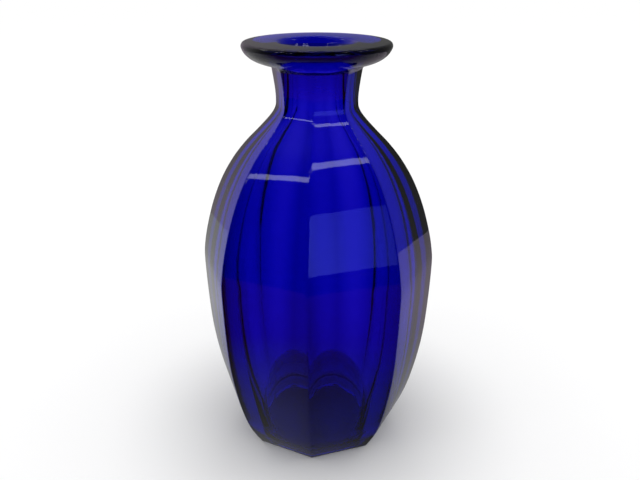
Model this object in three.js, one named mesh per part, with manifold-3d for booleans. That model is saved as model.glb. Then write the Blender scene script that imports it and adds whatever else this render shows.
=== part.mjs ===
// Eight-sided blown-glass medicine bottle: one piece of glass with a panelled barrel body, a short
// panelled neck and a round flared lip. Millimetres, +Z up, origin at the centre of the foot.
// The panels face +X, +Y and the directions between, so the vertical edges lie 22.5 degrees off.
import * as THREE from 'three';
import { mergeVertices } from 'three/addons/utils/BufferGeometryUtils.js';
import Module from 'manifold-3d';

// Driving dimensions. "Across" is measured corner to corner on the eight-sided stretches.
const sides = 8;
const overallHeight = 127;
const footAcross = 48.4;
const bellyAcross = 72.8;
const bellyHeight = 56;
const neckWaistAcross = 24.2;
const neckTopAcross = 26.3;
const neckLength = 9.1;
const lipAcross = 43;
const lipHeight = 7.6;
const lipEdgeDrop = 1.3;
const lipUndercut = 1.9;
const mouthAcross = 22;
const boreAcross = 16;
const panelWall = 3;
const floorThickness = 4.2;
const floorRounding = 3;
const kickUpAcross = 39;
const kickUpHeight = 22.5;
const kickUpWall = 3.9;
const pushUpAcross = 36.5;
const footChamfer = 0.4;

// How the turns are drawn: the lengths in millimetres that each handle reaches, and shares of a stretch.
const lipRootReach = 1;
const lipRootSag = 0.4;
const lipHipShare = 0.4;
const lipEdgeReach = 0.9;
const lipEdgeShare = 0.3;
const shoulderReach = 2;
const throatShare = 0.65;
const channelShare = 0.4;
const channelReach = 1;
const channelRise = 4.8;

// How finely the curves are cut into flats.
const roundSegments = 48;
const outsideRows = 60;
const insideRows = 36;
const domeRows = 14;
const shortRows = 6;

// The swell of each stretch as [share of its height, share of its swell] between two named sizes.
const lowerSwell = [[0, 0], [0.15, 0.38], [0.36, 0.68], [0.63, 0.9], [1, 1]];
const upperSwell = [
  [0.166, 0.981], [0.368, 0.873], [0.534, 0.733], [0.663, 0.572], [0.764, 0.398],
  [0.847, 0.217], [0.912, 0.083], [0.958, 0.015], [1, 0],
];
const neckSwell = [[0.4, 0.22], [1, 1]];

const cornerToPanel = Math.cos(Math.PI / sides);
const lipRootHeight = overallHeight - lipHeight;
const waistHeight = lipRootHeight - neckLength;
const pushUpDepth = kickUpHeight - kickUpWall;

const between = (low, high, share) => low + (high - low) * share;
const at = (radius, height) => new THREE.Vector2(radius, height);

// Corner outline from the foot, over the belly and shoulder, up the neck to the lip's root.
function bodyOutline(rows) {
  const stretch = (swell, narrow, wide, bottom, top) => swell.map(([rise, out]) => at(
    between(narrow, wide, out) / 2,
    between(bottom, top, rise),
  ));
  return new THREE.SplineCurve([
    ...stretch(lowerSwell, footAcross, bellyAcross, 0, bellyHeight),
    ...stretch(upperSwell, neckWaistAcross, bellyAcross, bellyHeight, waistHeight),
    ...stretch(neckSwell, neckWaistAcross, neckTopAcross, waistHeight, lipRootHeight),
  ]).getPoints(rows);
}

// A solid of revolution about +Z. With eight segments its corners lie between the axes.
function revolve(profile, segments) {
  const geometry = new THREE.LatheGeometry(profile, segments, Math.PI / segments);
  return geometry.rotateX(Math.PI / 2);
}

const wasm = await Module();
wasm.setup();

function solid(geometry) {
  const bare = geometry.clone();
  bare.deleteAttribute('normal');
  bare.deleteAttribute('uv');
  const merged = mergeVertices(bare, 1e-4);
  return new wasm.Manifold(new wasm.Mesh({
    numProp: 3,
    vertProperties: new Float32Array(merged.attributes.position.array),
    triVerts: new Uint32Array(merged.index.array),
  }));
}

function geometryOf(manifold) {
  const mesh = manifold.getMesh();
  const geometry = new THREE.BufferGeometry();
  geometry.setAttribute('position', new THREE.BufferAttribute(mesh.vertProperties, 3));
  geometry.setIndex(new THREE.BufferAttribute(mesh.triVerts, 1));
  geometry.computeVertexNormals();
  return geometry;
}

const bend = (start, handle, end) => (
  new THREE.QuadraticBezierCurve(start, handle, end).getPoints(shortRows)
);

// The panelled outside: body and neck, solid through, up into the lip.
function panelledOutside() {
  const body = bodyOutline(outsideRows);
  const foot = body[0].x;
  const insideLip = overallHeight - lipHeight / 2;
  const profile = [
    at(0, 0),
    at(foot - footChamfer, 0),
    at(foot, footChamfer),
    ...body.filter((place) => place.y > footChamfer * 2),
    at(neckTopAcross / 2, insideLip),
    at(0, insideLip),
  ];
  return revolve(profile, sides);
}

// The round lip: a shallow cone below, a bellied edge and a flat top.
function roundLip() {
  const edge = lipAcross / 2;
  const root = at(neckTopAcross / 2 * cornerToPanel, lipRootHeight);
  const hip = at(between(root.x, edge, lipHipShare), lipRootHeight + lipUndercut);
  const widest = at(edge, overallHeight - lipEdgeDrop);
  const corner = at(edge, overallHeight);
  const rootHandle = at(root.x + lipRootReach, hip.y - lipRootSag);
  const edgeHandle = at(edge - lipEdgeReach, between(hip.y, widest.y, lipEdgeShare));
  const profile = [
    at(0, root.y),
    ...bend(root, rootHandle, hip),
    ...bend(hip, edgeHandle, widest).slice(1),
    ...bend(widest, corner, at(edge - lipEdgeDrop, overallHeight)).slice(1),
    at(0, overallHeight),
  ];
  return revolve(profile, roundSegments);
}

// A bluff dome from its middle down to its rim, a quarter of an ellipse.
function dome(radius, foot, top) {
  const quarter = new THREE.EllipseCurve(0, foot, radius, top - foot, Math.PI / 2, 0, true);
  return quarter.getPoints(domeRows);
}

// The hollow: a round cavity one wall inside the panels, a bore through the neck, a flared mouth.
// Its floor is kicked up in the middle, with a rounded channel between the kick-up and the wall.
function hollow() {
  const bore = boreAcross / 2;
  const mouth = mouthAcross / 2;
  const edge = kickUpAcross / 2;
  const sweepTop = floorThickness + channelRise;
  const wall = bodyOutline(insideRows)
    .map((place) => at(place.x * cornerToPanel - panelWall, place.y))
    .filter((place) => place.x > bore + panelWall / 2 && place.y > sweepTop && place.y < waistHeight);
  const kickUp = dome(edge, floorThickness + floorRounding, kickUpHeight);
  const lowest = at(between(edge, wall[0].x, channelShare), floorThickness);
  const floorTurn = bend(kickUp[kickUp.length - 1], at(edge, floorThickness), lowest);
  const floorCorner = bend(lowest, at(wall[0].x - channelReach, floorThickness), wall[0]);
  const boreTop = at(bore, lipRootHeight);
  const shoulder = bend(wall[wall.length - 1], at(bore, waistHeight - shoulderReach), boreTop);
  const throatHandle = at(bore, overallHeight - lipHeight * throatShare);
  const throat = bend(boreTop, throatHandle, at(mouth, overallHeight));
  const profile = [
    ...kickUp,
    ...floorTurn.slice(1),
    ...floorCorner.slice(1),
    ...wall.slice(1),
    ...shoulder.slice(1),
    ...throat.slice(1),
    at(mouth, overallHeight + lipHeight),
    at(0, overallHeight + lipHeight),
  ];
  return revolve(profile, roundSegments);
}

// The domed push-up below the kicked-up floor, which leaves a flat bearing ring round the foot.
function pushUp() {
  const edge = pushUpAcross / 2;
  const profile = [
    at(0, -floorThickness),
    at(edge, -floorThickness),
    ...dome(edge, 0, pushUpDepth).reverse(),
  ];
  return revolve(profile, roundSegments);
}

function glassBottle() {
  const outside = solid(panelledOutside()).add(solid(roundLip()));
  const shell = outside.subtract(solid(hollow())).subtract(solid(pushUp()));
  const glass = new THREE.MeshStandardMaterial({
    name: 'cobalt glass',
    color: 0x10108f,
    roughness: 0.05,
    metalness: 0,
  });
  const mesh = new THREE.Mesh(geometryOf(shell), glass);
  mesh.name = 'glass_bottle';
  return mesh;
}

const medicineBottle = new THREE.Group();
medicineBottle.add(glassBottle());

export default medicineBottle;
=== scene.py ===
"""Looks of the eight-sided cobalt glass medicine bottle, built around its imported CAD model."""

import math

import bpy
import numpy as np
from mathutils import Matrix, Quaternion, Vector


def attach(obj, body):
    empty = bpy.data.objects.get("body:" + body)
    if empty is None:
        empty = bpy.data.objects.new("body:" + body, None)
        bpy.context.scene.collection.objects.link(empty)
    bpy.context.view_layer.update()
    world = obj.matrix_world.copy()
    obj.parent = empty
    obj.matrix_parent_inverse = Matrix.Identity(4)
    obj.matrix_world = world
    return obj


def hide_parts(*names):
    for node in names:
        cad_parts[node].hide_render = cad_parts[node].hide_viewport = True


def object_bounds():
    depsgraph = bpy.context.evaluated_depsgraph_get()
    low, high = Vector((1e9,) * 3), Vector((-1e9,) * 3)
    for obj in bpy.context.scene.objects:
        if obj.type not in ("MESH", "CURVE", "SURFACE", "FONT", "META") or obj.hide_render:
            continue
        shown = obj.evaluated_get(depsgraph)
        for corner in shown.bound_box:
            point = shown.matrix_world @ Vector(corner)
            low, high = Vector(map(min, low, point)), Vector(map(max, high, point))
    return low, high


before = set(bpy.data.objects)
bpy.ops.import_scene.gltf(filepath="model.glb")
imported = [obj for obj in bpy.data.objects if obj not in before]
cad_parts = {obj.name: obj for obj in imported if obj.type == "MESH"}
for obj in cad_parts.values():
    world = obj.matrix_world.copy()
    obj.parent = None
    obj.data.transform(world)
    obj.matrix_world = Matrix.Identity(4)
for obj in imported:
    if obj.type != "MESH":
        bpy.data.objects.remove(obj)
cad_low, cad_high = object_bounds()

MM = 0.001

# ---------------------------------------------------------------- the bottle's sizes, in millimetres
SIDES = 8
OVERALL_HEIGHT = (cad_high.z - cad_low.z) / MM
FOOT_ACROSS = 48.4
BELLY_ACROSS = 72.8
BELLY_HEIGHT = 56.0
NECK_WAIST_ACROSS = 24.2
NECK_TOP_ACROSS = 26.3
NECK_LENGTH = 9.1
LIP_ACROSS = 43.0
LIP_HEIGHT = 7.6
LIP_EDGE_DROP = 1.3
MOUTH_ACROSS = 22.0
BORE_ACROSS = 16.0
PANEL_WALL = 3.0
FLOOR_THICKNESS = 4.2
FLOOR_ROUNDING = 3.0
CHANNEL_RISE = 4.8
CHANNEL_REACH = 1.0
CHANNEL_SHARE = 0.4
SHOULDER_REACH = 2.0
KICK_UP_ACROSS = 39.0
KICK_UP_HEIGHT = 22.5
KICK_UP_WALL = 3.9
PUSH_UP_ACROSS = 36.5
PUSH_UP_DEPTH = KICK_UP_HEIGHT - KICK_UP_WALL
PUSH_UP_ROUNDING = 1.4
FOOT_ROUNDING = 0.4
BEARING_SHARES = (0.35, 0.75)
HEEL_START = 0.64
HEEL_FULLNESS = 0.1
ARRIS_ROUNDING = 0.7
ARRIS_LIMIT = 0.3

# The turns of the lip, each point as (radius or reach, depth below the top).
LIP_ROOT_REACH, LIP_ROOT_DEPTH = 0.5, 6.1
LIP_HIP_RADIUS, LIP_HIP_DEPTH = 16.0, 5.7
LIP_EDGE_REACH, LIP_EDGE_DEPTH = 0.9, 4.4
MOUTH_ROUNDING = 1.0
MOUTH_PINCH, MOUTH_PINCH_DEPTH = 0.3, 1.6
THROAT_DEPTH = 5.0
LAND_SHARE = 0.6

# How far the hidden faces of the two domes draw in at their rims.
KICK_UP_DRAW, PUSH_UP_DRAW = 0.3, 0.2

# Waves of the blown wall: how many round the bottle, depth, where it starts and lean per mm.
WALL_DRIFT = [
    (3, 0.16, 0.4, 0.01),
    (8, 0.1, 3.14, 0.0),
    (13, 0.05, 1.3, -0.02),
    (21, 0.025, 2.6, 0.015),
]
DRIFT_FADE = 12.0

# How finely the curves are drawn.
OUTSIDE_STEPS, INSIDE_STEPS = 170, 130
DOME_POINTS = 27
HEEL_STEPS, FOOT_STEPS, ROOT_STEPS, UNDER_STEPS, RIM_STEPS = 6, 5, 8, 16, 10
MOUTH_STEPS, THROAT_STEPS, SHOULDER_STEPS, CORNER_STEPS, TURN_STEPS = 8, 12, 12, 10, 8

# The swell of the body as (share of the height, share of the swell) between two named sizes.
LOWER_SWELL = [(0, 0), (0.15, 0.38), (0.36, 0.68), (0.63, 0.9), (1, 1)]
UPPER_SWELL = [
    (0.166, 0.981),
    (0.368, 0.873),
    (0.534, 0.733),
    (0.663, 0.572),
    (0.764, 0.398),
    (0.847, 0.217),
    (0.912, 0.083),
    (0.958, 0.015),
    (1, 0),
]
NECK_SWELL = [(0.4, 0.22), (1, 1)]

LIP_ROOT_HEIGHT = OVERALL_HEIGHT - LIP_HEIGHT
WAIST_HEIGHT = LIP_ROOT_HEIGHT - NECK_LENGTH
CORNER_TO_PANEL = math.cos(math.pi / SIDES)
HALF_SIDE = math.sin(math.pi / SIDES)


def mix(low, high, share):
    return low + (high - low) * share


def spline(points, steps):
    """The same smooth curve through the points as the CAD model's outline."""
    points = np.array(points, float)
    last = len(points) - 1
    curve = []
    for step in range(steps + 1):
        place = last * step / steps
        k = min(int(place), last - 1)
        w = place - k
        before, here = points[max(k - 1, 0)], points[k]
        there, after = points[k + 1], points[min(k + 2, last)]
        v0, v1 = (there - before) / 2, (after - here) / 2
        curve.append(
            (2 * here - 2 * there + v0 + v1) * w**3
            + (-3 * here + 3 * there - 2 * v0 - v1) * w**2
            + v0 * w
            + here
        )
    return np.array(curve)


def bend(start, handle, end, steps):
    """A curve from start to end that leaves and arrives towards the handle."""
    w = np.linspace(0, 1, steps + 1)[:, None]
    start, handle, end = map(np.array, (start, handle, end))
    return (1 - w) ** 2 * start + 2 * w * (1 - w) * handle + w**2 * end


# ---------------------------------------------------------------- outlines
def dome_curve(radius, foot, top):
    """A bluff dome from its middle down to its rim, a quarter of an ellipse."""
    turns = np.linspace(0, math.pi / 2, DOME_POINTS)
    return np.array([(radius * math.sin(t), foot + (top - foot) * math.cos(t)) for t in turns])


def body_outline(steps):
    """Corner outline from the foot, over the belly and shoulder, up the neck to the lip's root."""
    stretches = [
        (LOWER_SWELL, FOOT_ACROSS, BELLY_ACROSS, 0, BELLY_HEIGHT),
        (UPPER_SWELL, NECK_WAIST_ACROSS, BELLY_ACROSS, BELLY_HEIGHT, WAIST_HEIGHT),
        (NECK_SWELL, NECK_WAIST_ACROSS, NECK_TOP_ACROSS, WAIST_HEIGHT, LIP_ROOT_HEIGHT),
    ]
    points = []
    for swell, narrow, wide, bottom, top in stretches:
        points += [(mix(narrow, wide, out) / 2, mix(bottom, top, up)) for up, out in swell]
    return spline(points, steps)


def outside_stations():
    """(outline radius, height, squareness) from the middle of the foot up over the lip's edge."""
    top = OVERALL_HEIGHT
    edge = LIP_ACROSS / 2
    body = body_outline(OUTSIDE_STEPS)
    foot = body[0][0]
    heel = body[body[:, 1] > HEEL_START]
    dome_edge = PUSH_UP_ACROSS / 2
    dome = dome_curve(dome_edge - PUSH_UP_DRAW, PUSH_UP_ROUNDING * 2, PUSH_UP_DEPTH)
    heel_end = (dome_edge + PUSH_UP_ROUNDING, 0.0)
    heel_turn = bend(dome[-1], (dome_edge, 0.0), heel_end, HEEL_STEPS)
    corner = bend((foot - FOOT_ROUNDING, 0.0), (foot + HEEL_FULLNESS, 0.0), heel[0], FOOT_STEPS)
    root_handle = (body[-1][0] + LIP_ROOT_REACH, top - LIP_ROOT_DEPTH)
    root = bend(body[-1], root_handle, (LIP_HIP_RADIUS, top - LIP_HIP_DEPTH), ROOT_STEPS)
    edge_low, edge_handle = (edge, top - LIP_EDGE_DROP), (edge - LIP_EDGE_REACH, top - LIP_EDGE_DEPTH)
    under = bend(root[-1], edge_handle, edge_low, UNDER_STEPS)
    rim = bend(edge_low, (edge, top), (edge - LIP_EDGE_DROP, top), RIM_STEPS)
    rows = [(r, z, 0.0) for r, z in dome[1:]]
    rows += [(r, z, 0.0) for r, z in heel_turn[1:]]
    for share in BEARING_SHARES:
        rows.append((mix(heel_turn[-1][0], corner[0][0], share), 0.0, share))
    rows += [(r, z, 1.0) for r, z in corner]
    rows += [(r, z, 1.0) for r, z in heel[1:]]
    for step, (r, z) in enumerate(root[1:], 1):
        rows.append((r, z, 1.0 - step / ROOT_STEPS))
    rows += [(r, z, 0.0) for r, z in under[1:]]
    rows += [(r, z, 0.0) for r, z in rim[1:]]
    return rows


def inside_stations():
    """(outline radius, height) from the lip's flat top down the bore to the cavity floor."""
    top = OVERALL_HEIGHT
    mouth, bore = MOUTH_ACROSS / 2, BORE_ACROSS / 2
    mouth_start = mouth + MOUTH_ROUNDING
    land = mix(LIP_ACROSS / 2 - LIP_EDGE_DROP, mouth_start, LAND_SHARE)
    pinch = (mouth - MOUTH_PINCH * 2, top - MOUTH_PINCH_DEPTH)
    lip_turn = bend((mouth_start, top), (mouth - MOUTH_PINCH, top), pinch, MOUTH_STEPS)
    bore_top = (bore, LIP_ROOT_HEIGHT)
    throat = bend(lip_turn[-1], (bore, top - THROAT_DEPTH), bore_top, THROAT_STEPS)
    wall = body_outline(INSIDE_STEPS)[::-1]
    wall[:, 0] = wall[:, 0] * CORNER_TO_PANEL - PANEL_WALL
    wide = wall[:, 0] > bore + PANEL_WALL / 2
    upright = wall[wide & (wall[:, 1] > FLOOR_THICKNESS + CHANNEL_RISE) & (wall[:, 1] < WAIST_HEIGHT)]
    shoulder = bend(bore_top, (bore, WAIST_HEIGHT - SHOULDER_REACH), upright[0], SHOULDER_STEPS)
    edge, foot = KICK_UP_ACROSS / 2, upright[-1]
    lowest = (mix(edge, foot[0], CHANNEL_SHARE), FLOOR_THICKNESS)
    corner = bend(foot, (foot[0] - CHANNEL_REACH, FLOOR_THICKNESS), lowest, CORNER_STEPS)
    dome_foot = FLOOR_THICKNESS + FLOOR_ROUNDING
    dome = dome_curve(edge - KICK_UP_DRAW, dome_foot, KICK_UP_HEIGHT)[::-1]
    turn = bend(lowest, (edge, FLOOR_THICKNESS), dome[0], TURN_STEPS)
    stretches = [[(land, top)], lip_turn, throat[1:], shoulder[1:], upright[1:], corner[1:], turn[1:]]
    rows = [(r, z, 0.0) for stretch in stretches for r, z in stretch]
    rows += [(r, z, 0.0) for r, z in dome[1:-1]]
    return rows


# ---------------------------------------------------------------- the ring of points at one station
FLAT_SHARES = [-1, -0.97, -0.85, -0.6, -0.3, 0, 0.3, 0.6, 0.85, 0.97, 1]
ARRIS_STEPS = 5


def ring(radius, squareness, rounding):
    """Points round the axis: eight flats with rounded arrises, eased towards a circle."""
    rounding = min(rounding, radius * ARRIS_LIMIT)
    panel = radius * CORNER_TO_PANEL
    tangent = rounding * math.tan(math.pi / SIDES)
    half = radius * HALF_SIDE - tangent
    points = []
    for side in range(SIDES):
        face = math.radians(360 / SIDES * side)
        out = np.array([math.cos(face), math.sin(face)])
        along = np.array([-out[1], out[0]])
        for share in FLAT_SHARES:
            points.append(out * panel + along * half * share)
        centre = out * (panel - rounding) + along * half
        for step in range(1, ARRIS_STEPS):
            turn = face + math.radians(360 / SIDES * step / ARRIS_STEPS)
            points.append(centre + rounding * np.array([math.cos(turn), math.sin(turn)]))
    points = np.array(points)
    lengths = np.linalg.norm(points, axis=1, keepdims=True)
    circle = points / lengths * radius
    return mix(circle, points, squareness)


def wavy(points, height):
    """The blown inside: free of the mould, its wall drifts a little thicker and thinner."""
    above_floor = np.clip((height - KICK_UP_HEIGHT) / DRIFT_FADE, 0.0, 1.0)
    below_neck = np.clip((WAIST_HEIGHT - height) / DRIFT_FADE, 0.0, 1.0)
    turns = np.arctan2(points[:, 1], points[:, 0])
    drift = sum(
        depth * np.cos(count * turns + start + height * lean) for count, depth, start, lean in WALL_DRIFT
    )
    lengths = np.linalg.norm(points, axis=1)
    return points * (1 + above_floor * below_neck * drift / lengths)[:, None]


def bottle_mesh():
    """One closed skin: up the outside, over the lip, down the inside, shut at both poles."""
    outside = outside_stations()
    inside = inside_stations()
    count = SIDES * (len(FLAT_SHARES) + ARRIS_STEPS - 1)
    verts = [(0.0, 0.0, PUSH_UP_DEPTH)]
    for r, z, squareness in outside:
        verts += [(x, y, z) for x, y in ring(r, squareness, ARRIS_ROUNDING)]
    for r, z, squareness in inside:
        verts += [(x, y, z) for x, y in wavy(ring(r, squareness, ARRIS_ROUNDING), z)]
    verts.append((0.0, 0.0, KICK_UP_HEIGHT))
    rows = len(outside) + len(inside)
    faces = []
    for step in range(count):
        faces.append((0, 1 + (step + 1) % count, 1 + step))
    for row in range(rows - 1):
        low, high = 1 + row * count, 1 + (row + 1) * count
        for step in range(count):
            after = (step + 1) % count
            faces.append((low + step, low + after, high + after, high + step))
    top = 1 + (rows - 1) * count
    for step in range(count):
        faces.append((len(verts) - 1, top + step, top + (step + 1) % count))
    mesh = bpy.data.meshes.new("glass_bottle_fine")
    mesh.from_pydata([tuple(np.array(v) * MM) for v in verts], [], faces)
    mesh.validate()
    mesh.update()
    for polygon in mesh.polygons:
        polygon.use_smooth = True
    return mesh


# ---------------------------------------------------------------- materials
COBALT, COBALT_DENSITY = (0.13, 0.03, 0.86, 1), 1000.0
GLASS_IOR = 1.5
RIPPLE_SCALE, RIPPLE_DEPTH, RIPPLE_STRETCH = 70.0, 0.0001, (1, 1, 0.45)
CHILL_SCALE, CHILL_DEPTH = 420.0, 0.000006
SMUDGE_SCALE, SMUDGE_FROM, SMUDGE_FULL, SMUDGE_ROUGHNESS = 55.0, 0.48, 0.78, 0.07
WEAR_SCALE, WEAR_RAGGED, WEAR_HEIGHT, WEAR_ROUGHNESS = 900.0, 0.0006, 0.0003, 0.32


def new_material(name):
    material = bpy.data.materials.new(name)
    material.use_nodes = True
    return material, material.node_tree.nodes, material.node_tree.links


def cobalt_glass():
    """Clear glass coloured through its thickness, with faint ripples, smudges and a worn foot."""
    material, nodes, links = new_material("cobalt_glass_fine")
    glass = nodes["Principled BSDF"]
    glass.inputs["Base Color"].default_value = (1, 1, 1, 1)
    glass.inputs["Transmission Weight"].default_value = 1.0
    glass.inputs["IOR"].default_value = GLASS_IOR
    absorption = nodes.new("ShaderNodeVolumeAbsorption")
    absorption.inputs["Color"].default_value = COBALT
    absorption.inputs["Density"].default_value = COBALT_DENSITY
    links.new(absorption.outputs["Volume"], nodes["Material Output"].inputs["Volume"])

    place = nodes.new("ShaderNodeTexCoord")
    stretch = nodes.new("ShaderNodeMapping")
    stretch.inputs["Scale"].default_value = RIPPLE_STRETCH
    links.new(place.outputs["Object"], stretch.inputs["Vector"])

    def noise(scale, detail, source):
        texture = nodes.new("ShaderNodeTexNoise")
        texture.inputs["Scale"].default_value = scale
        texture.inputs["Detail"].default_value = detail
        links.new(source, texture.inputs["Vector"])
        return texture.outputs["Fac"]

    # The slow ripple of blown glass, drawn out along the bottle, and a finer chill ripple on it.
    ripple = nodes.new("ShaderNodeBump")
    ripple.inputs["Strength"].default_value = 1.0
    ripple.inputs["Distance"].default_value = RIPPLE_DEPTH
    links.new(noise(RIPPLE_SCALE, 1.0, stretch.outputs["Vector"]), ripple.inputs["Height"])
    chill = nodes.new("ShaderNodeBump")
    chill.inputs["Strength"].default_value = 1.0
    chill.inputs["Distance"].default_value = CHILL_DEPTH
    links.new(noise(CHILL_SCALE, 2.0, place.outputs["Object"]), chill.inputs["Height"])
    links.new(ripple.outputs["Normal"], chill.inputs["Normal"])
    links.new(chill.outputs["Normal"], glass.inputs["Normal"])

    # Smudges from handling soften the gloss in patches.
    smudges = nodes.new("ShaderNodeMapRange")
    smudges.inputs["From Min"].default_value = SMUDGE_FROM
    smudges.inputs["From Max"].default_value = SMUDGE_FULL
    smudges.inputs["To Max"].default_value = SMUDGE_ROUGHNESS
    links.new(noise(SMUDGE_SCALE, 6.0, place.outputs["Object"]), smudges.inputs["Value"])

    # Years of standing have scratched the bearing ring, and it ends raggedly above the foot.
    parts = nodes.new("ShaderNodeSeparateXYZ")
    ragged = nodes.new("ShaderNodeMath")
    ragged.operation = "MULTIPLY"
    ragged.inputs[1].default_value = WEAR_RAGGED
    edge = nodes.new("ShaderNodeMath")
    edge.operation = "ADD"
    worn = nodes.new("ShaderNodeMapRange")
    worn.inputs["From Min"].default_value = WEAR_RAGGED * 0.5
    worn.inputs["From Max"].default_value = WEAR_RAGGED * 0.5 + WEAR_HEIGHT
    worn.inputs["To Min"].default_value = WEAR_ROUGHNESS
    worn.inputs["To Max"].default_value = 0.0
    total = nodes.new("ShaderNodeMath")
    total.operation = "MAXIMUM"
    links.new(place.outputs["Object"], parts.inputs[0])
    links.new(noise(WEAR_SCALE, 4.0, place.outputs["Object"]), ragged.inputs[0])
    links.new(parts.outputs["Z"], edge.inputs[0])
    links.new(ragged.outputs[0], edge.inputs[1])
    links.new(edge.outputs[0], worn.inputs["Value"])
    links.new(smudges.outputs["Result"], total.inputs[0])
    links.new(worn.outputs["Result"], total.inputs[1])
    links.new(total.outputs[0], glass.inputs["Roughness"])
    return material


def seen_directly(nodes, links):
    """1 for camera, mirror and see-through rays, 0 for the rays that light the object."""
    path = nodes.new("ShaderNodeLightPath")
    total = path.outputs["Is Camera Ray"]
    for name in ("Is Glossy Ray", "Is Transmission Ray"):
        add = nodes.new("ShaderNodeMath")
        add.operation = "MAXIMUM"
        links.new(total, add.inputs[0])
        links.new(path.outputs[name], add.inputs[1])
        total = add.outputs[0]
    return total


# ---------------------------------------------------------------- the bottle
bottle = bpy.data.objects.new("bottle_glass", bottle_mesh())
bpy.context.scene.collection.objects.link(bottle)
bottle.data.materials.append(cobalt_glass())
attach(bottle, "root")
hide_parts("glass_bottle")

# ---------------------------------------------------------------- camera
CAMERA_AZIMUTH = math.radians(26.83)
CAMERA_DISTANCE = 0.2021
CAMERA_HEIGHT = 0.1521
CAMERA_PITCH = math.radians(23.09)
CAMERA_SWING = math.radians(0.25)
SENSOR_WIDTH, LENS = 36.0, 39.06
camera_data = bpy.data.cameras.new("camera")
camera_data.sensor_width = SENSOR_WIDTH
camera_data.lens = LENS
camera_data.clip_start = 0.005
camera = bpy.data.objects.new("camera", camera_data)
camera.location = (
    CAMERA_DISTANCE * math.sin(CAMERA_AZIMUTH),
    -CAMERA_DISTANCE * math.cos(CAMERA_AZIMUTH),
    CAMERA_HEIGHT,
)
camera.rotation_euler = (math.pi / 2 - CAMERA_PITCH, 0, CAMERA_AZIMUTH - CAMERA_SWING)
bpy.context.scene.collection.objects.link(camera)
bpy.context.scene.camera = camera


# ---------------------------------------------------------------- floor and background
def plain_mesh(name, verts, faces, material):
    mesh = bpy.data.meshes.new(name)
    mesh.from_pydata(verts, [], faces)
    mesh.materials.append(material)
    thing = bpy.data.objects.new(name, mesh)
    bpy.context.scene.collection.objects.link(thing)
    return thing


FLOOR_COLOUR = 0.78
FLOOR_LIFT = 0.22
# Painted shade round the foot: the lift is absent close to the bottle's axis and full from the second
# distance out.
PAINTED_SHADE_CORE = 0.02
PAINTED_SHADE_EDGE = 0.075
FLOOR_REACH, FLOOR_DROP = 6.0, 0.0002


def pale_floor():
    """White floor that keeps the bottle's shadow, and joins the white background; near the bottle its lift
    fades out, a painted shade round the foot.
    """
    material, nodes, links = new_material("pale_floor")
    surface = nodes["Principled BSDF"]
    surface.inputs["Base Color"].default_value = (FLOOR_COLOUR, FLOOR_COLOUR, FLOOR_COLOUR, 1)
    surface.inputs["Roughness"].default_value = 0.9
    surface.inputs["Specular IOR Level"].default_value = 0.0
    lift = nodes.new("ShaderNodeEmission")
    place = nodes.new("ShaderNodeTexCoord")
    length = nodes.new("ShaderNodeVectorMath")
    length.operation = "LENGTH"
    # Painted shade: the lift fades out towards the bottle's axis, so the floor is darker round the foot.
    fade = nodes.new("ShaderNodeMapRange")
    fade.interpolation_type = "SMOOTHSTEP"
    fade.inputs["From Min"].default_value = PAINTED_SHADE_CORE
    fade.inputs["From Max"].default_value = PAINTED_SHADE_EDGE
    fade.inputs["To Max"].default_value = FLOOR_LIFT
    links.new(place.outputs["Object"], length.inputs[0])
    links.new(length.outputs["Value"], fade.inputs["Value"])
    links.new(fade.outputs["Result"], lift.inputs["Strength"])
    both = nodes.new("ShaderNodeAddShader")
    choice = nodes.new("ShaderNodeMixShader")
    links.new(surface.outputs[0], both.inputs[0])
    links.new(lift.outputs[0], both.inputs[1])
    links.new(seen_directly(nodes, links), choice.inputs["Fac"])
    links.new(surface.outputs[0], choice.inputs[1])
    links.new(both.outputs[0], choice.inputs[2])
    links.new(choice.outputs[0], nodes["Material Output"].inputs["Surface"])
    return material


floor_corners = [(x * FLOOR_REACH, y * FLOOR_REACH, 0) for x, y in ((-1, -1), (1, -1), (1, 1), (-1, 1))]
floor = plain_mesh("floor", floor_corners, [(0, 1, 2, 3)], pale_floor())
floor.location.z = -FLOOR_DROP

world = bpy.data.worlds.new("studio")
bpy.context.scene.world = world
world.use_nodes = True
background = world.node_tree.nodes["Background"]
background.inputs["Color"].default_value = (1, 1, 1, 1)
background.inputs["Strength"].default_value = 1.0

# ---------------------------------------------------------------- what the glass reflects
ROOM_RADIUS = 0.9
ROOM_AROUND, ROOM_UP = 64, 16
TABLE_RADIUS = 0.33
DISC_AROUND = 96
BEYOND_DROP, TABLE_DROP = 0.00015, 0.0001
SHOULDER_HEIGHT = 0.08
STRIP_DISTANCE, STRIP_AIM = 0.8, 0.09
WINDOW_LEFT, WINDOW_RIGHT, WINDOW_DISTANCE = 27, 49, 0.7
WINDOW_SILL, WINDOW_TOP = 0.042, 0.385
WINDOW_LEVELS = [(0.0, (0.46, 0.6, 3.2)), (0.45, (0.26, 0.32, 1.5)), (1.0, (0.07, 0.09, 0.15))]
WINDOW_WIDTH = 2 * WINDOW_DISTANCE * math.sin(math.radians(WINDOW_RIGHT - WINDOW_LEFT) / 2)


def towards(azimuth, elevation, distance):
    """A point that way from the bottle. Azimuth 0 is the camera's side, and grows to its right."""
    turn = CAMERA_AZIMUTH - math.pi / 2 + math.radians(azimuth)
    rise = math.radians(elevation)
    level = distance * math.cos(rise)
    height = SHOULDER_HEIGHT + distance * math.sin(rise)
    return Vector((level * math.cos(turn), level * math.sin(turn), height))


def only_reflected(thing):
    thing.visible_camera = False
    thing.visible_diffuse = False
    thing.visible_transmission = False
    thing.visible_volume_scatter = False
    thing.visible_shadow = False


def glow_material(name):
    material, nodes, links = new_material(name)
    nodes.remove(nodes["Principled BSDF"])
    glow = nodes.new("ShaderNodeEmission")
    glow.inputs["Strength"].default_value = 1.0
    links.new(glow.outputs[0], nodes["Material Output"].inputs["Surface"])
    return material, nodes, links, glow


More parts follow.
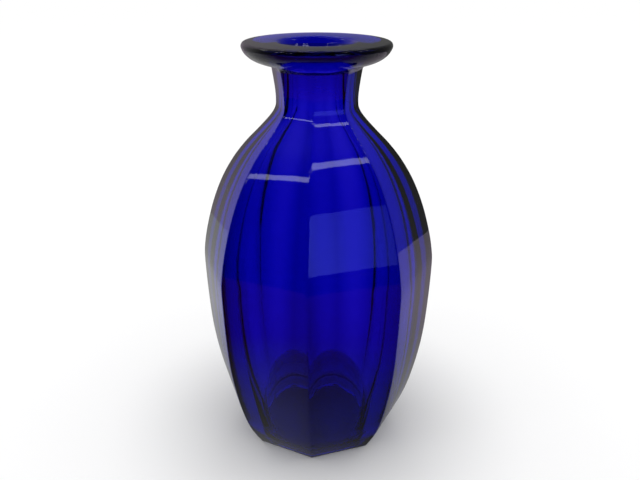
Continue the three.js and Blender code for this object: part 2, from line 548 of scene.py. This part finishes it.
def ramp(nodes, stops):
    """A colour ramp from (place, level) pairs, where a level is a grey or a colour."""
    node = nodes.new("ShaderNodeValToRGB")
    elements = node.color_ramp.elements
    for place, level in stops[1:-1]:
        elements.new(place)
    for element, (place, level) in zip(elements, stops):
        element.position = place
        element.color = (*(level if isinstance(level, tuple) else [level] * 3), 1)
    return node


# The dim room round the bottle, the table and the table close to the foot, by azimuth from the camera's
# side, as levels that only reflections see. In front the reflected table is darker, in a plum tone. Close
# to the foot it is darker than further off at the sides and back, a painted shade under the bottle, and
# lighter in front.
PLUM = (0.1, 0.025, 0.09)
LILAC = (0.46, 0.4, 0.47)
ROOM_LEVELS = [
    (-180, 0.14),
    (-150, LILAC),
    (-115, 0.38),
    (-85, 0.1),
    (-60, 0.012),
    (50, 0.012),
    (110, 0.1),
    (150, 0.14),
    (180, 0.14),
]
TABLE_LEVELS = [
    (-180, 0.4),
    (-150, 0.58),
    (-100, 0.5),
    (-70, PLUM),
    (60, PLUM),
    (95, 0.35),
    (125, LILAC),
    (180, 0.4),
]
# Painted shade: the reflected table close to the foot, darker than further off at the sides and back.
FOOT_LEVELS = [
    (-180, 0.3),
    (-110, 0.3),
    (-60, 0.26),
    (-40, 0.24),
    (30, 0.12),
    (60, 0.12),
    (100, 0.3),
    (180, 0.3),
]
FOOT_REACH, TABLE_FROM = 0.04, 0.1


def level_by_azimuth(nodes, links, levels):
    """A colour that changes with the azimuth about the object's own origin."""
    place = nodes.new("ShaderNodeTexCoord")
    parts = nodes.new("ShaderNodeSeparateXYZ")
    angle = nodes.new("ShaderNodeMath")
    angle.operation = "ARCTAN2"
    share = nodes.new("ShaderNodeMapRange")
    share.inputs["From Min"].default_value = -math.pi
    share.inputs["From Max"].default_value = math.pi
    tones = ramp(nodes, [((azimuth + 180) / 360, level) for azimuth, level in levels])
    links.new(place.outputs["Object"], parts.inputs[0])
    links.new(parts.outputs["Y"], angle.inputs[0])
    links.new(parts.outputs["X"], angle.inputs[1])
    links.new(angle.outputs[0], share.inputs["Value"])
    links.new(share.outputs["Result"], tones.inputs["Fac"])
    return tones.outputs["Color"]


def dim_room():
    """A dome that only reflections see, dark where a photographer's room is."""
    material, nodes, links, glow = glow_material("dim_room")
    links.new(level_by_azimuth(nodes, links, ROOM_LEVELS), glow.inputs["Color"])
    verts, faces = [], []
    for row in range(ROOM_UP + 1):
        rise = math.pi / 2 * row / ROOM_UP
        level, height = ROOM_RADIUS * math.cos(rise), ROOM_RADIUS * math.sin(rise)
        for step in range(ROOM_AROUND):
            turn = 2 * math.pi * step / ROOM_AROUND
            verts.append((level * math.cos(turn), level * math.sin(turn), height))
    for row in range(ROOM_UP):
        for step in range(ROOM_AROUND):
            a, b = row * ROOM_AROUND + step, row * ROOM_AROUND + (step + 1) % ROOM_AROUND
            faces.append((a, b, b + ROOM_AROUND, a + ROOM_AROUND))
    dome = plain_mesh("dim_room", verts, faces, material)
    dome.rotation_euler.z = CAMERA_AZIMUTH - math.pi / 2
    only_reflected(dome)


def disc(name, radius, material):
    turns = [2 * math.pi * step / DISC_AROUND for step in range(DISC_AROUND)]
    verts = [(radius * math.cos(t), radius * math.sin(t), 0) for t in turns]
    thing = plain_mesh(name, verts, [tuple(range(DISC_AROUND))], material)
    thing.rotation_euler.z = CAMERA_AZIMUTH - math.pi / 2
    only_reflected(thing)
    return thing


def reflected_table():
    """The table top in reflections, and round it the same dim room down to the floor."""
    beyond, nodes, links, glow = glow_material("beyond_table")
    links.new(level_by_azimuth(nodes, links, ROOM_LEVELS), glow.inputs["Color"])
    disc("beyond_table", ROOM_RADIUS, beyond).location.z = -BEYOND_DROP
    material, nodes, links, glow = glow_material("reflected_table")
    place = nodes.new("ShaderNodeTexCoord")
    length = nodes.new("ShaderNodeVectorMath")
    length.operation = "LENGTH"
    away = nodes.new("ShaderNodeMapRange")
    away.inputs["From Min"].default_value = FOOT_REACH
    away.inputs["From Max"].default_value = TABLE_FROM
    blend = nodes.new("ShaderNodeMix")
    blend.data_type = "RGBA"
    links.new(place.outputs["Object"], length.inputs[0])
    links.new(length.outputs["Value"], away.inputs["Value"])
    links.new(away.outputs["Result"], blend.inputs["Factor"])
    links.new(level_by_azimuth(nodes, links, FOOT_LEVELS), blend.inputs["A"])
    links.new(level_by_azimuth(nodes, links, TABLE_LEVELS), blend.inputs["B"])
    links.new(blend.outputs["Result"], glow.inputs["Color"])
    disc("reflected_table", TABLE_RADIUS, material).location.z = -TABLE_DROP


def window_card():
    """A daylight window to the right of the camera, seen in one front panel, brightest at its left."""
    material, nodes, links, glow = glow_material("window_light")
    place = nodes.new("ShaderNodeTexCoord")
    parts = nodes.new("ShaderNodeSeparateXYZ")
    share = nodes.new("ShaderNodeMapRange")
    share.inputs["From Min"].default_value = 0.0
    share.inputs["From Max"].default_value = WINDOW_WIDTH
    fade = ramp(nodes, WINDOW_LEVELS)
    links.new(place.outputs["Object"], parts.inputs[0])
    links.new(parts.outputs["X"], share.inputs["Value"])
    links.new(share.outputs["Result"], fade.inputs["Fac"])
    links.new(fade.outputs["Color"], glow.inputs["Color"])
    verts = [
        (0, 0, WINDOW_SILL),
        (WINDOW_WIDTH, 0, WINDOW_SILL),
        (WINDOW_WIDTH, 0, WINDOW_TOP),
        (0, 0, WINDOW_TOP),
    ]
    card = plain_mesh("window_light", verts, [(0, 1, 2, 3)], material)
    left, right = (towards(azimuth, 0, WINDOW_DISTANCE) for azimuth in (WINDOW_LEFT, WINDOW_RIGHT))
    card.location = (left.x, left.y, 0)
    card.rotation_euler.z = math.atan2(right.y - left.y, right.x - left.x)
    only_reflected(card)


def strip_light(name, azimuths, elevations, radiance, tilt=0):
    """A long soft box overhead, that wide and that deep in degrees, turned by the tilt about its middle."""
    elevation = sum(elevations) / 2
    middle = towards(sum(azimuths) / 2, elevation, STRIP_DISTANCE)
    reach = STRIP_DISTANCE * math.cos(math.radians(elevation))
    data = bpy.data.lights.new(name, "AREA")
    data.shape = "RECTANGLE"
    data.size = reach * math.radians(azimuths[1] - azimuths[0])
    data.size_y = STRIP_DISTANCE * math.radians(elevations[1] - elevations[0])
    data.energy = radiance * math.pi * data.size * data.size_y
    lamp = bpy.data.objects.new(name, data)
    lamp.location = middle
    aim = (Vector((0, 0, STRIP_AIM)) - middle).to_track_quat("-Z", "Y")
    lamp.rotation_euler = (aim @ Quaternion((0, 0, 1), math.radians(tilt))).to_euler()
    lamp.visible_camera = False
    lamp.visible_transmission = False
    bpy.context.scene.collection.objects.link(lamp)


dim_room()
reflected_table()
window_card()
strip_light("strip_right", (36, 64), (51.9, 55.5), 2.7, tilt=-14)
strip_light("strip_left", (-80, -38), (42.2, 45.6), 2.8, tilt=54)
strip_light("strip_far_right", (78, 108), (44, 48), 3.0)
strip_light("strip_far_left", (-122, -94), (41, 45), 3.0)
strip_light("strip_behind", (156, 196), (43, 47), 1.6)

# ---------------------------------------------------------------- scene settings
GLASS_BOUNCES, GLOSSY_BOUNCES = 24, 16
scene = bpy.context.scene
scene.view_settings.view_transform = "Standard"
scene.cycles.max_bounces = GLASS_BOUNCES
scene.cycles.transmission_bounces = GLASS_BOUNCES
scene.cycles.glossy_bounces = GLOSSY_BOUNCES
